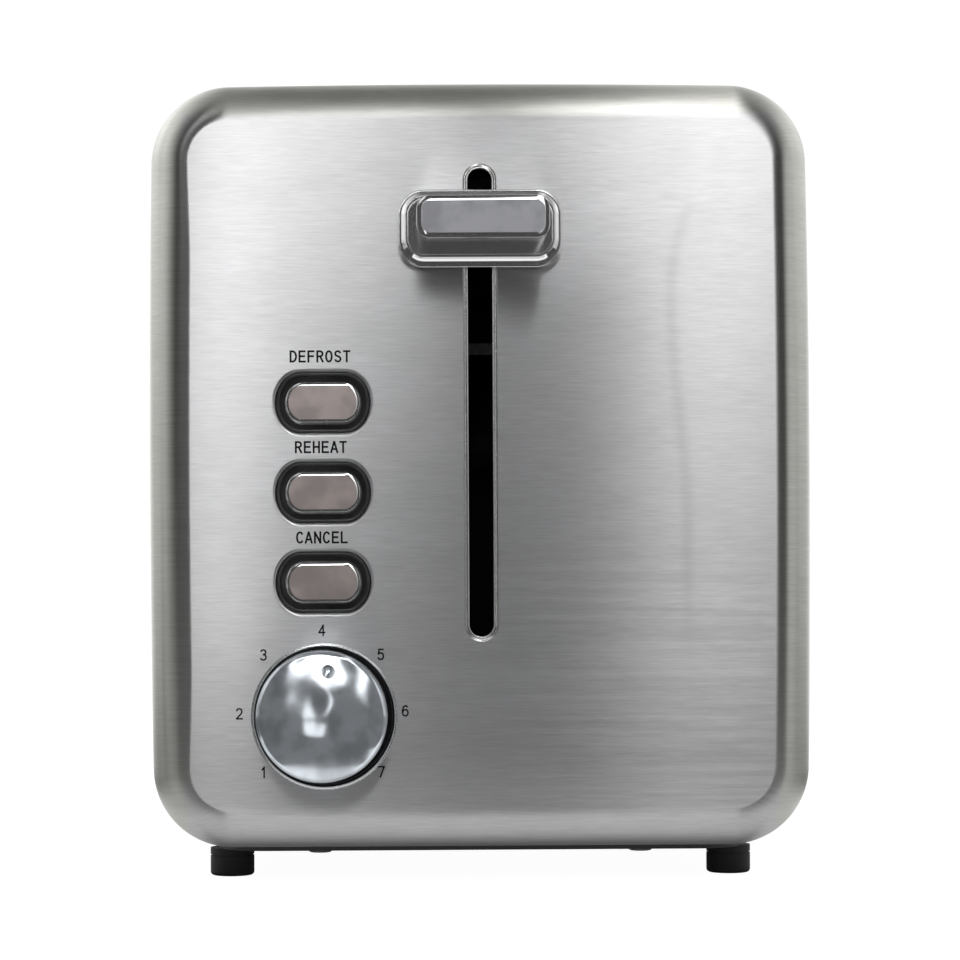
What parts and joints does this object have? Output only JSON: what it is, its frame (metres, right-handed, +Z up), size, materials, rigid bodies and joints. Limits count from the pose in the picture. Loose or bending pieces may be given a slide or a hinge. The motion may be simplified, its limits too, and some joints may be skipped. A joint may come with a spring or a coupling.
{
  "type": "pop up toaster",
  "caption": "Long pop up toaster in brushed steel with a chrome lever on a slot, push buttons in dark wells, a browning knob, round feet and a crumb tray that slides out behind.",
  "frame": {"origin": "centre of the footprint at the height of the feet", "axes": "+Z up, -Y towards the control end with the lever, buttons and knob, +X to the right as the control end is seen from in front"},
  "size_m": [0.162, 0.299, 0.195],
  "materials": {
    "steel_brushed": "fine horizontal grain, satin",
    "chrome": "mirror",
    "black_gloss": "glossy",
    "black_matte": "fine matt texture",
    "black_coated": "matt black coating on sheet steel",
    "rubber_black": "matt",
    "sheet_steel": "plain zinc-coated",
    "reflector": "bright rolled",
    "mica": "flaky sheet",
    "ribbon": "oxidised",
    "wire_plated": "plated wire",
    "spring_steel": "drawn wire",
    "coil_tape": "wound coil",
    "iron": "machined",
    "board_green": "laminate",
    "component": "moulded",
    "terminal": "moulded"
  },
  "bodies": {
    "housing": {"base_plate": "black_matte", "base_screws": "sheet_steel", "board_posts": "terminal", "button_bezel": "black_gloss", "carriage_stops": "rubber_black", "chassis_front": "black_coated", "chassis_rear": "sheet_steel", "control_board": "board_green", "cord_gland": "black_matte", "feet": "rubber_black", "front_cover": "steel_brushed", "guide_rods": "wire_plated", "heater_card_center": "mica", "heater_card_left": "mica", "heater_card_right": "mica", "heating_ribbon_center": "ribbon", "heating_ribbon_left": "ribbon", "heating_ribbon_right": "ribbon", "knob_bezel": "black_gloss", "magnet_coil": "coil_tape", "magnet_core": "iron", "outer_wrap": "steel_brushed", "potentiometer": "component", "power_board": "board_green", "push_switches": "component", "rear_cover": "steel_brushed", "rear_screws": "sheet_steel", "relay": "component", "return_spring_left": "spring_steel", "return_spring_right": "spring_steel", "rod_bracket_bottom": "sheet_steel", "rod_bracket_top": "sheet_steel", "side_reflector_left": "reflector", "side_reflector_right": "reflector", "slot_liner": "black_matte", "slot_trim_left": "steel_brushed", "slot_trim_right": "steel_brushed", "terminal_block": "terminal", "transformer": "component", "tray_rails": "sheet_steel"},
    "carriage": {"lever_flange": "chrome", "lever_handle": "chrome", "lever_stem": "black_coated", "carriage_plate": "black_coated", "carriage_bushes": "terminal", "bread_rack_left": "sheet_steel", "bread_rack_right": "sheet_steel", "armature_plate": "iron"},
    "defrost_button": {"button_defrost": "chrome"},
    "reheat_button": {"button_reheat": "chrome"},
    "cancel_button": {"button_cancel": "chrome"},
    "knob": {"browning_knob": "chrome", "potentiometer_shaft": "sheet_steel"},
    "tray": {"crumb_tray": "sheet_steel", "tray_grip": "black_matte"},
    "guide_outer_left": {"bread_guide_outer_left": "wire_plated"},
    "guide_inner_left": {"bread_guide_inner_left": "wire_plated"},
    "guide_inner_right": {"bread_guide_inner_right": "wire_plated"},
    "guide_outer_right": {"bread_guide_outer_right": "wire_plated"}
  },
  "joints": [
    {"name": "lever_slide", "type": "slide", "parent": "housing", "child": "carriage", "axis": [0, 0, -1], "range_m": [0, 0.084], "stiffness_N_per_m": 90, "springref_m": -0.06, "deforming": ["return_spring_left", "return_spring_right"]},
    {"name": "defrost_push", "type": "slide", "parent": "housing", "child": "defrost_button", "axis": [0, 1, 0], "range_m": [0, 0.0022], "stiffness_N_per_m": 600, "springref_m": -0.002},
    {"name": "reheat_push", "type": "slide", "parent": "housing", "child": "reheat_button", "axis": [0, 1, 0], "range_m": [0, 0.0022], "stiffness_N_per_m": 600, "springref_m": -0.002},
    {"name": "cancel_push", "type": "slide", "parent": "housing", "child": "cancel_button", "axis": [0, 1, 0], "range_m": [0, 0.0022], "stiffness_N_per_m": 600, "springref_m": -0.002},
    {"name": "browning_turn", "type": "hinge", "parent": "housing", "child": "knob", "pos_m": [-0.0387, -0.1245, 0.04085], "axis": [0, 1, 0], "range_deg": [-144, 126]},
    {"name": "tray_slide", "type": "slide", "parent": "housing", "child": "tray", "axis": [0, 1, 0], "range_m": [0, 0.19]},
    {"name": "guide_outer_left_tilt", "type": "hinge", "parent": "housing", "child": "guide_outer_left", "pos_m": [-0.049, 0, 0.026], "axis": [0, 1, 0], "range_deg": [0, 3.6]},
    {"name": "guide_inner_left_tilt", "type": "hinge", "parent": "housing", "child": "guide_inner_left", "pos_m": [-0.007, 0, 0.026], "axis": [0, -1, 0], "range_deg": [0, 3.6]},
    {"name": "guide_inner_right_tilt", "type": "hinge", "parent": "housing", "child": "guide_inner_right", "pos_m": [0.007, 0, 0.026], "axis": [0, 1, 0], "range_deg": [0, 3.6]},
    {"name": "guide_outer_right_tilt", "type": "hinge", "parent": "housing", "child": "guide_outer_right", "pos_m": [0.049, 0, 0.026], "axis": [0, -1, 0], "range_deg": [0, 3.6]}
  ],
  "couplings": [
    {"joint": "guide_outer_left_tilt", "follows": "lever_slide", "rad_per_m": 0.7272},
    {"joint": "guide_inner_left_tilt", "follows": "lever_slide", "rad_per_m": 0.7272},
    {"joint": "guide_inner_right_tilt", "follows": "lever_slide", "rad_per_m": 0.7272},
    {"joint": "guide_outer_right_tilt", "follows": "lever_slide", "rad_per_m": 0.7272}
  ]
}
